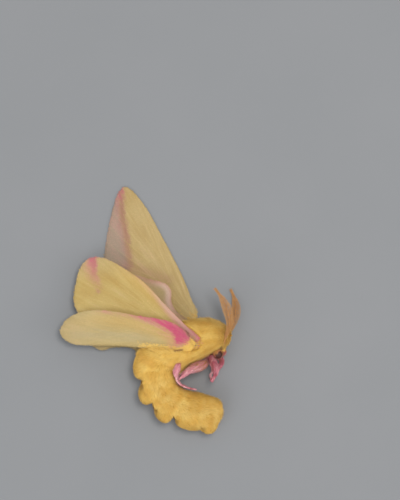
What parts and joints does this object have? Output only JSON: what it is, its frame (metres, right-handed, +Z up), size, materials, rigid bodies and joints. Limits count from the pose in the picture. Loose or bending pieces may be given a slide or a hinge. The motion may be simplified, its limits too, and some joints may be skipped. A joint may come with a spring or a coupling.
{
  "type": "rosy maple moth",
  "caption": "Life-size furry yellow and pink moth lying on its side, wings folded over its back and abdomen curled round in a C.",
  "frame": {"origin": "middle of the model's footprint, on the floor that the moth lies on", "axes": "+Z up, which is the moth's right side; +X roughly along the thorax to the head; +Y from the belly to the back, where the folded wings lie"},
  "size_m": [0.0234, 0.0322, 0.0056],
  "materials": {
    "fur_yellow": "dense soft yellow hair in overlapping tufts",
    "fur_golden": "deeper golden hair of the tail tuft",
    "wing_scales": "matte yellow wing scales with fine veins and rose-pink markings",
    "wing_scales_pale": "matte pale yellow wing scales with a dusky pink band and a thin grey outer margin",
    "leg_scales_pink": "rose-pink leg scales and short hair",
    "antenna_tan": "tan feathered antenna with a pinkish shaft",
    "eye_dark": "glossy dark brown compound eye"
  },
  "bodies": {
    "root": {"head": "fur_yellow", "thorax": "fur_yellow", "abdomen_1": "fur_yellow", "abdomen_2": "fur_yellow", "abdomen_3": "fur_yellow", "abdomen_4": "fur_yellow", "abdomen_5": "fur_golden", "eye_right": "eye_dark", "eye_left": "eye_dark", "antenna_right": "antenna_tan", "antenna_left": "antenna_tan", "wing_fore_right": "wing_scales", "wing_hind_right": "wing_scales", "wing_hind_left": "wing_scales", "wing_fore_left": "wing_scales_pale", "leg_fore_right": "leg_scales_pink", "leg_mid_right": "leg_scales_pink", "leg_hind_right": "leg_scales_pink", "leg_fore_left": "leg_scales_pink", "leg_mid_left": "leg_scales_pink", "leg_hind_left": "leg_scales_pink"}
  },
  "joints": []
}
